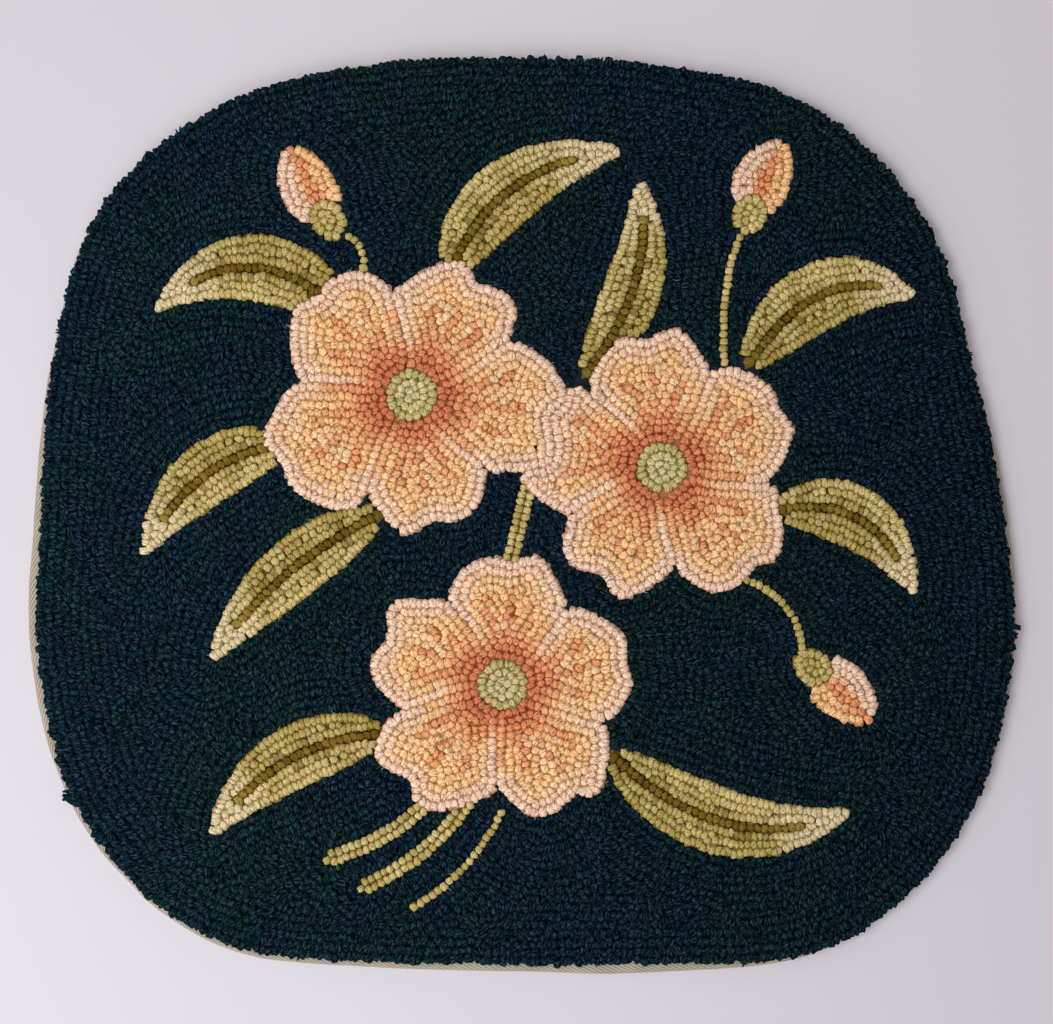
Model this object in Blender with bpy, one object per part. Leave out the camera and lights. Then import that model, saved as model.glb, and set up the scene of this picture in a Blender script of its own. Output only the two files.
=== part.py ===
"""Hooked chair pad: a cloth full of wool loops, with twill tape bound round its raw edge.

Metres, +Z up. The pad lies flat with its loops upward, its longer side along X, and the middle
of its underside at the origin.
Run it with: blender --background --python part.py
"""

import math

import bmesh
import bpy
from mathutils import Vector

MM = 0.001

# The outline. Each list goes round from +X towards +Y in equal steps.
# From the middle of the pad to the edge of its loops:
LOOPS_REACH_MM = [
    200.5, 197.0, 207.0, 207.0, 194.5, 188.5, 195.5, 209.5, 216.0, 205.0,
    199.5, 211.0, 223.0, 219.5, 197.0, 188.5, 198.0, 222.5, 225.5, 214.0,
]  # fmt: skip
# From the edge of the loops out to the edge of the tape, which isn't rolled evenly:
TAPE_STANDS_OUT_MM = [
    2.0, 1.2, 0.7, 0.4, 0.4, 0.4, 0.5, 0.5, 0.5, 1.2,
    3.7, 3.8, 2.4, 2.7, 2.9, 3.9, 3.9, 1.3, 1.0, 1.4,
]  # fmt: skip
SECTORS = 120  # points round each ring

# Heights and widths across the edge.
TAPE_THICK = 1.0 * MM
ROLL_RADIUS = 1.9 * MM  # outside of the tape where it folds round the cloth
TAPE_BELOW = 30.0 * MM  # width of the tape that is sewn flat underneath
TAPE_ABOVE = 8.0 * MM  # width of the tape that runs in under the loops
GAP = 0.3 * MM  # between the cloth and the tape
PAD_TOP = 8.2 * MM  # from the seat to the tops of the loops
CLOTH_SINKS_OVER = 5.0 * MM  # beyond the tape the cloth comes down to the seat within this

# The loops' height varies by this, in waves of these lengths.
UNEVEN = 0.25 * MM
WAVE_X = 131.0 * MM
WAVE_Y = 97.0 * MM

ROUND_STEPS = 4  # steps in each quarter or half turn of the edge's section
SHRINK = (0.75, 0.5, 0.25)  # rings between the flat of the pad and its middle

GROUND_COLOUR = (0.010, 0.030, 0.040, 1.0)
TAPE_COLOUR = (0.54, 0.42, 0.28, 1.0)


def clear_scene():
    for obj in list(bpy.data.objects):
        bpy.data.objects.remove(obj, do_unlink=True)


def round_trip(values, turn):
    """The value at a share of the way round, on a smooth closed curve through the values."""
    count = len(values)
    place = turn * count
    first = math.floor(place)
    f = place - first
    before, start, end, after = (values[(first + k) % count] for k in (-1, 0, 1, 2))
    return 0.5 * (
        2 * start
        + (end - before) * f
        + (2 * before - 5 * start + 4 * end - after) * f**2
        + (3 * start - before - 3 * end + after) * f**3
    )


def loops_edge(turn):
    angle = 2 * math.pi * turn
    reach = round_trip(LOOPS_REACH_MM, turn) * MM
    return Vector((reach * math.cos(angle), reach * math.sin(angle), 0))


def stations():
    """For each point round the pad: its place on the loops' edge, the way out, the tape's reach."""
    found = []
    for i in range(SECTORS):
        turn = i / SECTORS
        small = 0.25 / SECTORS
        along = loops_edge(turn + small) - loops_edge(turn - small)
        outward = Vector((along.y, -along.x, 0)).normalized()
        found.append((loops_edge(turn), outward, round_trip(TAPE_STANDS_OUT_MM, turn) * MM))
    return found


def unevenness(point):
    across = math.sin(2 * math.pi * point.x / WAVE_X)
    along = math.sin(2 * math.pi * point.y / WAVE_Y + 1.0)
    return UNEVEN * 0.5 * (across + along)


def ring_from_tape(places, inward, height):
    """A ring at a distance inward from the tape's outer edge."""
    ring = []
    for edge, outward, stands_out in places:
        point = edge + outward * (stands_out - inward)
        point.z = height
        ring.append(point)
    return ring


def ring_from_loops(places, inward, height, uneven=False):
    """A ring at a distance inward from the loops' edge."""
    ring = []
    for edge, outward, _ in places:
        point = edge - outward * inward
        point.z = height + (unevenness(point) if uneven else 0)
        ring.append(point)
    return ring


def arc(centre, radius, start_deg, end_deg, steps):
    """Points (inward, height) on an arc, the angles from inward towards up."""
    points = []
    for i in range(steps + 1):
        angle = math.radians(start_deg + (end_deg - start_deg) * i / steps)
        points.append((centre[0] + radius * math.cos(angle), centre[1] + radius * math.sin(angle)))
    return points


def bridge(bm, ring_a, ring_b):
    count = len(ring_a)
    for i in range(count):
        j = (i + 1) % count
        bm.faces.new((ring_a[i], ring_a[j], ring_b[j], ring_b[i]))


def solid_of_rings(name, rings, closed):
    """A solid from rings of points. A closed one is a tube, and another is capped at both ends."""
    bm = bmesh.new()
    made = [[bm.verts.new(point) for point in ring] for ring in rings]
    for ring_a, ring_b in zip(made, made[1:]):
        bridge(bm, ring_a, ring_b)
    if closed:
        bridge(bm, made[-1], made[0])
    else:
        bm.faces.new(reversed(made[0]))
        top = bm.faces.new(made[-1])
        bmesh.ops.poke(bm, faces=[top])
    bmesh.ops.recalc_face_normals(bm, faces=bm.faces)
    mesh = bpy.data.meshes.new(name)
    bm.to_mesh(mesh)
    bm.free()
    obj = bpy.data.objects.new(name, mesh)
    bpy.context.scene.collection.objects.link(obj)
    return obj


def material(name, colour, roughness):
    mat = bpy.data.materials.new(name)
    mat.use_nodes = True
    shader = mat.node_tree.nodes["Principled BSDF"]
    shader.inputs["Base Color"].default_value = colour
    shader.inputs["Roughness"].default_value = roughness
    shader.inputs["Metallic"].default_value = 0.0
    mat.diffuse_color = colour
    return mat


def binding_tape(places):
    """The tape: flat below, rolled round the edge, and a short lap above."""
    centre = (ROLL_RADIUS, ROLL_RADIUS)
    outside = arc(centre, ROLL_RADIUS, 270, 90, 2 * ROUND_STEPS)
    inside = arc(centre, ROLL_RADIUS - TAPE_THICK, 90, 270, 2 * ROUND_STEPS)
    top = 2 * ROLL_RADIUS
    section = [
        (TAPE_BELOW, 0),
        *outside,
        (TAPE_ABOVE, top),
        (TAPE_ABOVE, top - TAPE_THICK),
        *inside,
        (TAPE_BELOW, TAPE_THICK),
    ]
    rings = [ring_from_tape(places, inward, height) for inward, height in section]
    return solid_of_rings("binding_tape", rings, closed=True)


def hooked_pad(places):
    """The cloth and its loops: flat underneath, its rim in the tape, its loops over the tape."""
    nose_radius = ROLL_RADIUS - TAPE_THICK - GAP
    over_tape_below = TAPE_THICK + GAP
    over_tape_above = 2 * ROLL_RADIUS + GAP
    flat_from = TAPE_BELOW + GAP + CLOTH_SINKS_OVER
    nose = arc((ROLL_RADIUS, ROLL_RADIUS), nose_radius, 270, 90, 2 * ROUND_STEPS)
    neck = TAPE_ABOVE + GAP
    underside = [(flat_from, 0), (TAPE_BELOW + GAP, over_tape_below), *nose]
    underside += [(neck, ROLL_RADIUS + nose_radius), (neck, over_tape_above)]
    rings = [ring_from_tape(places, inward, height) for inward, height in underside]

    widest = 0.45 * (over_tape_above + PAD_TOP)  # height at which the last loops lean out most
    lower, upper = widest - over_tape_above, PAD_TOP - widest
    shoulder = []
    for i in range(ROUND_STEPS + 1):
        angle = math.radians(-90 + 90 * i / ROUND_STEPS)
        shoulder.append((lower * (1 - math.cos(angle)), widest + lower * math.sin(angle)))
    for i in range(1, ROUND_STEPS + 1):
        angle = math.radians(90 * i / ROUND_STEPS)
        shoulder.append((upper * (1 - math.cos(angle)), widest + upper * math.sin(angle)))
    rings += [ring_from_loops(places, inward, height) for inward, height in shoulder]

    flat = [4 * upper, flat_from]
    rings += [ring_from_loops(places, inward, PAD_TOP, uneven=True) for inward in flat]
    inner = rings[-1]
    for share in SHRINK:
        ring = [Vector((share * point.x, share * point.y, 0)) for point in inner]
        for point in ring:
            point.z = PAD_TOP + unevenness(point)
        rings.append(ring)
    return solid_of_rings("hooked_pad", rings, closed=False)


def centre_on_origin(objects):
    """Puts the middle of the whole part's underside at the origin."""
    points = [vertex.co for obj in objects for vertex in obj.data.vertices]
    low = Vector([min(point[k] for point in points) for k in range(3)])
    high = Vector([max(point[k] for point in points) for k in range(3)])
    shift = Vector((-(low.x + high.x) / 2, -(low.y + high.y) / 2, -low.z))
    for obj in objects:
        for vertex in obj.data.vertices:
            vertex.co += shift
    return high - low


def main():
    clear_scene()
    places = stations()
    pad = hooked_pad(places)
    tape = binding_tape(places)
    pad.data.materials.append(material("wool_loops", GROUND_COLOUR, 0.9))
    tape.data.materials.append(material("cotton_tape", TAPE_COLOUR, 0.85))
    size = centre_on_origin([pad, tape])
    print("size in mm:", [round(side / MM, 1) for side in size])
    for obj in (pad, tape):
        print(obj.name, len(obj.data.polygons), "faces")


main()
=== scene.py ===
# %% [markdown]
# # A hooked chair pad
# A hooked pad starts as a piece of open-woven cloth with a picture drawn on it. The maker pushes
# a hook down through the cloth, catches a wool yarn held underneath and pulls it up as a loop,
# then does the same a few threads further on, some thirteen thousand times. There is no glue:
# the loops hold each other. A strip of twill tape is sewn round the raw edge at the end.
#
# A picture on a flat plane would be much quicker, but the eye knows this thing by its loops: each
# is a fat bead with its own light and shade, and they run in rows like furrows. So this script
# works the way the maker does. It draws the picture, walks along the rows, and sets one real loop
# of yarn at each step.

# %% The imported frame
import math

import bpy
import numpy as np
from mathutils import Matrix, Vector
from mathutils.kdtree import KDTree


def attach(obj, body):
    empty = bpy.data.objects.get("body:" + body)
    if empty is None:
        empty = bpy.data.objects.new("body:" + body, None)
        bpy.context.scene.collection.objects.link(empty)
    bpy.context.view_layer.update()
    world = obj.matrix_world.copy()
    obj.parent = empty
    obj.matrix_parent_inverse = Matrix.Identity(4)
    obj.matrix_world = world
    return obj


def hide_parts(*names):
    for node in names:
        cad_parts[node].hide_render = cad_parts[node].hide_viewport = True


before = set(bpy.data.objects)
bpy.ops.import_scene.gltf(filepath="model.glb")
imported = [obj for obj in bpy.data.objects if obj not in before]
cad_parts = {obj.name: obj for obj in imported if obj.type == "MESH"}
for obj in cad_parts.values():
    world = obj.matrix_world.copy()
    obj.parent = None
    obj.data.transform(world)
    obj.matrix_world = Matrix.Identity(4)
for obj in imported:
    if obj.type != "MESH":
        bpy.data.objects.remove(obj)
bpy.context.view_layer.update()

MM = 0.001
rng = np.random.default_rng(1207)
print("solids:", sorted(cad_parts))

# %% [markdown]
# ## The two edges
# The solids say where the loops end and where the tape ends. Each is widest in one ring of points,
# so that ring gives its outline. The pad's solid has a second wide ring low down, where the cloth
# runs into the tape, so for the loops only what lies above the tape counts. Read as a distance
# for each direction, an outline can be asked anywhere.

# %% The outlines of the loops and of the tape
PAIR_APART = 0.002  # m, the most between an outer point and one straight inside it
ABOVE_TAPE = 0.0045  # m
SAME = 1e-5  # m, heights closer than this are one ring


def widest_ring(node, above=-1.0):
    """(directions, distances) of a solid's outermost ring of points, in radians and mm."""
    points = np.array([v.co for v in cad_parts[node].data.vertices])
    points = points[points[:, 2] > above]
    far = np.hypot(points[:, 0], points[:, 1])
    level = points[np.abs(points[:, 2] - points[far.argmax(), 2]) < SAME][:, :2]
    level = np.unique(np.round(level, 6), axis=0)
    far = np.hypot(*level.T)
    outer = [
        i
        for i, point in enumerate(level)
        if not ((np.hypot(*(level - point).T) < PAIR_APART) & (far > far[i] + 1e-6)).any()
    ]
    way = np.arctan2(level[outer, 1], level[outer, 0])
    order = way.argsort()
    return way[order], far[outer][order] / MM


def reach(ring, way):
    """How far the ring is from the middle in a direction."""
    return np.interp(way, *ring, period=2 * math.pi)


loops_ring = widest_ring("hooked_pad", ABOVE_TAPE)
tape_ring = widest_ring("binding_tape")
print("points round the loops and the tape:", len(loops_ring[0]), len(tape_ring[0]))

# %% [markdown]
# ## The drawing on the cloth
# The picture is a spray of wild roses, an old pattern for hooked pads. It is drawn on a fine grid
# of cells over the cloth: every cell holds the number of the shape that covers it, how far along
# the shape it lies and how far to its side. Later those two numbers choose the yarn.

# %% A grid over the cloth
CELL = 0.5  # mm, a sixth of the way from one loop to the next

grid_x = np.arange(-214, 214, CELL)
grid_y = np.arange(-198, 198, CELL)
X, Y = np.meshgrid(grid_x, grid_y)
on_pad = np.hypot(X, Y) < reach(loops_ring, np.arctan2(Y, X))
shape = on_pad.astype(int)
along = np.zeros(X.shape)
across = np.zeros(X.shape)
flower = np.zeros(X.shape, int)
kinds = ["bare", "ground"]
patches = []  # (kind, closed outline) of each motif, for the bed under it


def new_shape(kind):
    kinds.append(kind)
    return len(kinds) - 1


def cell_of(points):
    """The row and column of the cell at each point."""
    row = np.rint((points[..., 1] - grid_y[0]) / CELL).astype(int)
    column = np.rint((points[..., 0] - grid_x[0]) / CELL).astype(int)
    return np.clip(row, 0, len(grid_y) - 1), np.clip(column, 0, len(grid_x) - 1)


print(f"{X.size} cells, {on_pad.sum() * CELL**2 / 1e6:.4f} square metres of loops")

# %% [markdown]
# ## Leaves, buds and stems
# All three are strokes: a bent line with a width that changes along it. A leaf swells early and
# ends in a point, a bud is short and fat, and a stem keeps one width, as does the midrib, a dark
# row of loops down the middle of a leaf. One function draws them all by asking each cell near the
# line which point of the line it is closest to.

# %% Strokes
INSET = 1.5  # mm from a shape's edge to the edge of the bed under it
QUARTER_TURN = np.array(((0, 1), (-1, 0)))


def bent_line(start, bend, end, count=60):
    t = np.linspace(0, 1, count)[:, None]
    start, bend, end = (np.array(p, float) for p in (start, bend, end))
    return (1 - t) ** 2 * start + 2 * t * (1 - t) * bend + t**2 * end


def directions(line):
    way = np.gradient(line, axis=0)
    return way / np.linalg.norm(way, axis=1)[:, None]


def stroke(line, half_width, kind, over=None):
    """Draws a shape along a line, over everything or over one shape number alone."""
    margin = half_width.max() + 1
    low, high = line.min(0) - margin, line.max(0) + margin
    columns = slice(*np.searchsorted(grid_x, (low[0], high[0])))
    rows = slice(*np.searchsorted(grid_y, (low[1], high[1])))
    x, y = X[rows, columns], Y[rows, columns]
    gap = np.hypot(x[..., None] - line[:, 0], y[..., None] - line[:, 1]) - half_width
    nearest = gap.argmin(-1)
    under = shape[rows, columns]
    hit = (gap.min(-1) < 0) & ((under > 0) if over is None else (under == over))
    way = directions(line)[nearest]
    offset = (y - line[nearest, 1]) * way[..., 0] - (x - line[nearest, 0]) * way[..., 1]
    number = new_shape(kind)
    shape[rows, columns][hit] = number
    along[rows, columns][hit] = (nearest / (len(line) - 1))[hit]
    across[rows, columns][hit] = (offset / np.maximum(half_width[nearest], 0.1))[hit]
    if over in (None, 1):
        side = np.maximum(half_width - INSET, 0.02)[:, None] * directions(line) @ QUARTER_TURN
        patches.append((kind, np.concatenate([line + side, (line - side)[::-1]])))
    return number


def swelling(width, fattest, count=60, fullness=0.85):
    """Half widths that swell to the fattest place and taper to both ends."""
    t = np.linspace(0, 1, count) ** (math.log(0.5) / math.log(fattest))
    return width / 2 * np.maximum(np.sin(math.pi * t), 0) ** fullness


print("half widths down a bud, in mm:", np.round(swelling(23, 0.45, 6), 1))

# %% Leaves and buds
FINER_ROW = 3.5  # mm between rows of loops in the flowers and leaves
LEAF_POINTS = 200
RIB = slice(6, 160)  # the stretch of a leaf's points that its midrib covers

single_rows = []  # (shape number, line) of the midribs, and later of the stems


def leaf(start, bend, end, width):
    line = bent_line(start, bend, end, LEAF_POINTS)
    number = stroke(line, swelling(width, 0.42, LEAF_POINTS), "leaf")
    rib = line[RIB]
    rib_number = stroke(rib, np.full(len(rib), FINER_ROW / 2), "rib", over=number)
    single_rows.append((rib_number, rib))


def bud(base, tip, width=23):
    base, tip = np.array(base, float), np.array(tip, float)
    length = tip - base
    side = np.array((-length[1], length[0])) / np.hypot(*length)
    stroke(bent_line(base, (base + tip) / 2 + 2 * side, tip), swelling(width, 0.45), "bud")
    cup = bent_line(base - 0.22 * length, base, base + 0.2 * length)
    stroke(cup, swelling(0.62 * width, 0.6), "cup")


print(f"a midrib covers {(RIB.stop - RIB.start) / LEAF_POINTS:.0%} of its leaf's length")

# %% [markdown]
# ## The roses
# A wild rose has five broad petals, each with a small dip in its rim, round a yellow-green eye.
# In polar form that is short: the direction says which petal a cell is in, and the petal's rim
# is a distance from the middle that falls towards both sides and dips at its centre. A twist
# that grows outwards lets each petal lie over its neighbour, and each petal gets its own size.

# %% A rose
PETALS = 5
EYE = 0.17  # share of the rose's radius
SIDES_FALL = 0.30  # how much nearer the middle a petal's rim is at its sides
DIP = 0.10  # share of the rim's distance that the dip at its centre takes
DIP_DEG = 7.5
RIPPLE = 0.02
TWIST_DEG = 14
OUTLINE_EVERY_DEG = 2.5


def rose(centre, radius, turn_deg, seed):
    own = np.random.default_rng(seed)
    size = own.uniform(0.92, 1.06, PETALS)
    lean = own.uniform(-4, 4, PETALS)
    x, y = X - centre[0], Y - centre[1]
    out = np.hypot(x, y) / radius
    way = np.degrees(np.arctan2(y, x)) - turn_deg - TWIST_DEG * out**1.5 * np.sin(3 * out)
    wedge = 360 / PETALS
    which = np.floor((way + wedge / 2) % 360 / wedge).astype(int) % PETALS
    off_axis = (way + wedge / 2) % 360 % wedge - wedge / 2 - lean[which]
    bow = np.cos(np.radians(np.clip(2.35 * off_axis, -90, 90)))
    rim = 1 - SIDES_FALL + SIDES_FALL * bow
    rim *= size[which] * (1 - DIP * np.exp(-((off_axis / DIP_DEG) ** 2)))
    rim *= 1 + RIPPLE * np.sin(np.radians(11 * off_axis + 50 * seed + 70 * which))
    first = len(kinds)
    for petal in range(PETALS):
        hit = (which == petal) & (out < rim) & (out > EYE) & on_pad
        shape[hit] = new_shape("petal")
        along[hit] = (out / rim)[hit]
        across[hit] = (off_axis / (wedge / 2))[hit]
        flower[hit] = seed
    eye = out <= EYE
    flower[eye] = seed
    shape[eye] = new_shape("eye")
    along[eye] = out[eye] / EYE
    patches.append(("petal", outline_of_rose(centre, radius, first)))


def outline_of_rose(centre, radius, first):
    """The furthest cell of the rose in each direction, drawn in by the inset."""
    steps = np.arange(0, 1.2 * radius, CELL)[:, None]
    outline = []
    for way in np.radians(np.arange(0, 360, OUTLINE_EVERY_DEG)):
        ray = np.array(centre) + steps * (math.cos(way), math.sin(way))
        last = steps[shape[cell_of(ray)] >= first].max() - INSET
        outline.append((centre[0] + last * math.cos(way), centre[1] + last * math.sin(way)))
    return np.array(outline)


print(f"each petal has {360 / PETALS:.0f} degrees")

# %% [markdown]
# ## The spray
# The order matters, as in paint: leaves first, then the roses over them, then the buds. The
# stems come last and only fill ground, so they seem to run in under the petals.

# %% Drawing the spray
THIN_STEM = 2.8  # mm, one row of loops with the ground pressing in from both sides
LEAVES = (
    # start, bend, end, width
    ((-70, 80), (-112, 124), (-154, 84), 28),
    ((-30, 98), (-16, 146), (44, 152), 28),
    ((-96, 30), (-138, 26), (-158, -18), 26),
    ((92, 60), (124, 110), (164, 90), 28),
    ((104, 2), (148, 12), (163, -34), 26),
    ((34, -96), (84, -146), (138, -122), 28),
    ((-54, -90), (-104, -92), (-130, -134), 26),
    ((24, 56), (58, 96), (48, 142), 24),
    ((-56, 2), (-104, -20), (-130, -62), 25),
)
STEMS = (
    # start, bend, end, rows of loops
    ((-66, 98), (-64, 118), (-77, 116), 1),
    ((84, 62), (82, 98), (91, 117), 1),
    ((92, -26), (116, -36), (116, -56), 1),
    ((-34, -112), (-50, -134), (-80, -142), 2),
    ((-22, -118), (-38, -142), (-66, -154), 2),
    ((-8, -122), (-22, -150), (-46, -163), 1),
    ((6, 30), (0, -2), (-8, -30), 2),
)

for start, bend, end, width in LEAVES:
    leaf(start, bend, end, width)
rose((-8, -70), 61, 80, seed=3)
rose((58, 20), 62, 20, seed=2)
rose((-46, 50), 63, 130, seed=1)
bud((-80, 122), (-97, 153))
bud((94, 124), (108, 155))
bud((120, -62), (145, -85))
for start, bend, end, rows in STEMS:
    line = bent_line(start, bend, end, 200)
    half_width = (rows - 1) * FINER_ROW / 2 + THIN_STEM / 2
    number = stroke(line, np.full(len(line), half_width), "stem", over=1)
    side = directions(line) @ QUARTER_TURN
    for i in range(rows):
        single_rows.append((number, line + side * (i - (rows - 1) / 2) * FINER_ROW))
print("shapes:", {kind: kinds.count(kind) for kind in sorted(set(kinds))})

# %% [markdown]
# ## Where the rows run
# A maker outlines each shape first and then fills it row by row, each row beside the last. So
# the rows are the lines at an even distance from the nearest outline. Jump flooding finds that
# distance in a handful of passes: each cell looks at cells a long jump away, takes over the
# nearest outline that they know, and the jump is halved until it is one cell.

# %% The distance to the nearest outline
NOWHERE = 1e6  # mm, further than any cell


def flood(seeds):
    """For each cell the place of the nearest seed cell and how far it is."""
    height, width = seeds.shape
    near_x, near_y = np.where(seeds, X, NOWHERE), np.where(seeds, Y, NOWHERE)
    best = np.hypot(X - near_x, Y - near_y)
    jump = 2 ** (int(math.log2(max(height, width))))
    while jump:
        for down, right in ((j, i) for j in (-1, 0, 1) for i in (-1, 0, 1) if j or i):
            down, right = down * jump, right * jump
            rows_from = slice(max(down, 0), height + min(down, 0))
            rows_to = slice(max(-down, 0), height + min(-down, 0))
            columns_from = slice(max(right, 0), width + min(right, 0))
            columns_to = slice(max(-right, 0), width + min(-right, 0))
            x, y = near_x[rows_from, columns_from], near_y[rows_from, columns_from]
            to = rows_to, columns_to
            gap = np.hypot(X[to] - x, Y[to] - y)
            better = gap < best[to]
            best[to][better] = gap[better]
            near_x[to][better] = x[better]
            near_y[to][better] = y[better]
        jump //= 2
    return near_x, near_y, best


def outlines(numbers):
    """The cells on both sides of each line between two numbers."""
    found = np.zeros(numbers.shape, bool)
    for one, other in (
        ((slice(1, None), slice(None)), (slice(None, -1), slice(None))),
        ((slice(None), slice(1, None)), (slice(None), slice(None, -1))),
    ):
        differ = numbers[one] != numbers[other]
        found[one] |= differ
        found[other] |= differ
    return found


outline_x, outline_y, depth = flood(outlines(shape))
from_rim = flood(outlines(flower))[2]
print(f"the deepest point of the ground is {depth[shape == 1].max():.1f} mm from any outline")

# %% [markdown]
# ## Walking the rows
# Along a row the hand sets a loop, moves on by about a yarn's width and sets the next. The walk
# does the same in the cloud of cells that makes up a row: from each loop it goes to the cell
# that is nearest to one step away, and prefers to keep straight on. The steps vary a little, as
# they do by hand. Leaves are hooked closest, so their loops lie like bars across the row. A
# stem's rows and a midrib have lines of their own, and their loops are set evenly on those.

# %% Walking one row
TOO_CLOSE = 0.8  # steps: a cell nearer than this to a loop is used up
FURTHEST = 1.45  # steps
STEP_VARIES = (0.93, 1.10)
STRAIGHT_ON = 0.6  # mm that a step may miss its length by for the sake of going straight on


def walk(points, step):
    """The places of loops along a row's cells, a step apart."""
    left = np.ones(len(points), bool)
    placed = []
    here = points[0]
    while left.any():
        ids = np.flatnonzero(left)
        here = points[ids[((points[ids] - here) ** 2).sum(1).argmin()]]
        way = np.zeros(2)
        while True:
            placed.append(here)
            gap = np.hypot(*(points - here).T)
            left &= gap > TOO_CLOSE * step
            ring = np.flatnonzero(left & (gap < FURTHEST * step))
            if not len(ring):
                break
            ahead = (points[ring] - here) @ way / gap[ring]
            miss = np.abs(gap[ring] - step * rng.uniform(*STEP_VARIES))
            chosen = points[ring[(miss - STRAIGHT_ON * ahead).argmin()]]
            way = (chosen - here) / np.hypot(*(chosen - here))
            here = chosen
    return placed


def loops_on_line(line, number, step):
    """Evenly spaced loops on a stem's or midrib's own line, where it shows."""
    run = np.concatenate([[0], np.cumsum(np.hypot(*np.diff(line, axis=0).T))])
    count = int(run[-1] / step)
    at = (np.arange(count) + 0.5) * run[-1] / count
    points = np.stack([np.interp(at, run, line[:, k]) for k in (0, 1)], axis=1)
    return [point for point in points if shape[cell_of(point)] == number]


print(f"steps of {STEP_VARIES[0]:.0%} to {STEP_VARIES[1]:.0%} of the usual one")

# %% Setting the loops
ROW = 3.7  # mm between rows of loops in the ground
STEP = {"ground": 2.85, "stem": 2.85, "rib": 2.85, "leaf": 2.3, "petal": 2.75}  # mm along a row
FINER_STEP = STEP["petal"]  # for the rest
MID_ROW = 0.3  # mm either side of a row's middle

spots = []
for number, line in single_rows:
    spots += loops_on_line(line, number, STEP[kinds[number]])
row_width = np.where(shape == 1, ROW, FINER_ROW)
row_at = (depth / row_width).astype(int)
mid_row = np.abs(depth - (row_at + 0.5) * row_width) < MID_ROW
for number in range(1, len(kinds)):
    if kinds[number] in ("stem", "rib"):
        continue
    for row in range(row_at.max() + 1):
        cells = (shape == number) & mid_row & (row_at == row)
        if cells.any():
            points = np.stack([X[cells], Y[cells]], axis=1)
            spots += walk(points, STEP.get(kinds[number], FINER_STEP))
spots = np.array(spots)
print(len(spots), "loops in rows")

# %% [markdown]
# ## Filling in and settling
# Where two sets of rows meet, the gaps are too narrow for a row and too wide to leave. A maker
# pokes single loops in there. After that the yarn settles: loops that were set too close push
# each other apart. A loop is longer across its row than along it, so the room that it wants
# depends on the direction.

# %% Single loops in the gaps
TOO_WIDE = 0.66  # rows from a cell to the nearest loop
BETWEEN_FILLERS = 2.6  # mm
BY_OUTLINE = 1.2  # mm: no loop is set or pushed nearer to an outline than this

taken = np.zeros(shape.shape, bool)
taken[cell_of(spots)] = True
bare = np.argwhere((flood(taken)[2] > TOO_WIDE * row_width) & on_pad & (depth > BY_OUTLINE))
rng.shuffle(bare)
fillers = []
for row, column in bare:
    place = np.array((X[row, column], Y[row, column]))
    if not fillers or np.hypot(*(np.array(fillers) - place).T).min() > BETWEEN_FILLERS:
        fillers.append(place)
spots = np.concatenate([spots, fillers])
print(len(fillers), "single loops,", len(spots), "in all")

# %% Settling
NEIGHBOURS = 6
PASSES = 8
ROOM = {"ground": (2.7, 3.5), "leaf": (2.15, 3.3)}  # mm along and across the row
FINER_ROOM = (2.6, 3.3)
PUSH = 0.22  # share of the missing room that one neighbour makes in one pass
MOST_MISSING = 1.5  # mm
MOST_MOVED = 0.5  # mm in one pass

set_in = cell_of(spots)
owner = shape[set_in]
wanted = np.array([ROOM.get(kind, FINER_ROOM) for kind in np.array(kinds)[owner]])
room_along, room_across = wanted[:, :1], wanted[:, 1:]
uphill = spots - np.stack([outline_x[set_in], outline_y[set_in]], axis=1)
uphill /= np.maximum(np.hypot(*uphill.T), 1e-6)[:, None]
for _ in range(PASSES):
    tree = KDTree(len(spots))
    for i, (x, y) in enumerate(spots):
        tree.insert((x, y, 0), i)
    tree.balance()
    near = np.array([[n[1] for n in tree.find_n((x, y, 0), NEIGHBOURS + 1)] for x, y in spots])
    apart = spots[:, None] - spots[near[:, 1:]]
    gap = np.maximum(np.linalg.norm(apart, axis=2), 1e-3)
    slant = np.einsum("nkd,nd->nk", apart, uphill) / gap
    room = room_along + (room_across - room_along) * slant**2
    missing = np.clip(room - gap, 0, MOST_MISSING)
    push = (apart / gap[..., None] * (PUSH * missing)[..., None]).sum(1)
    moved = spots + np.clip(push, -MOST_MOVED, MOST_MOVED)
    stays = (shape[cell_of(moved)] != owner) | (depth[cell_of(moved)] < BY_OUTLINE)
    spots = np.where(stays[:, None], spots, moved)
print(f"middle distance to the nearest loop: {np.median(gap[:, 0]):.2f} mm")

# %% [markdown]
# ## The yarns
# The wools were dyed at home in small pots, so no two skeins match. The ground is an overdyed
# navy that runs to bottle green in places. The petals go from deep salmon at the heart through
# apricot and cream to shell pink at the rims, and the leaves from olive to straw at the tips, with
# a midrib in bark brown. A skein that was dipped in two pots changes colour slowly along its
# length, so the maker shades by pulling up one stretch of it after another. A texture could hold
# these colours, but no loop has two of them. So each loop gets one colour, mixed from the dyes by
# its place in the shape and a little chance.

# %% Dye pots
DYES = {
    "navy": "#072535",
    "bottle green": "#072A2C",
    "shell pink": "#FCD8BC",
    "cream": "#FED7A8",
    "apricot": "#FFCF95",
    "peach": "#FEC28B",
    "salmon": "#EB9E6E",
    "deep salmon": "#D6825D",
    "lime": "#DCD09A",
    "straw": "#E8D4A8",
    "light olive": "#DAC686",
    "moss": "#BAA660",
    "olive": "#9E8A3C",
    "bark": "#6D5419",
}


def linear(code):
    """An sRGB hex colour as linear red, green and blue."""
    value = np.array([int(code[i : i + 2], 16) for i in (1, 3, 5)]) / 255
    return np.where(value <= 0.04045, value / 12.92, ((value + 0.055) / 1.055) ** 2.4)


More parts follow.
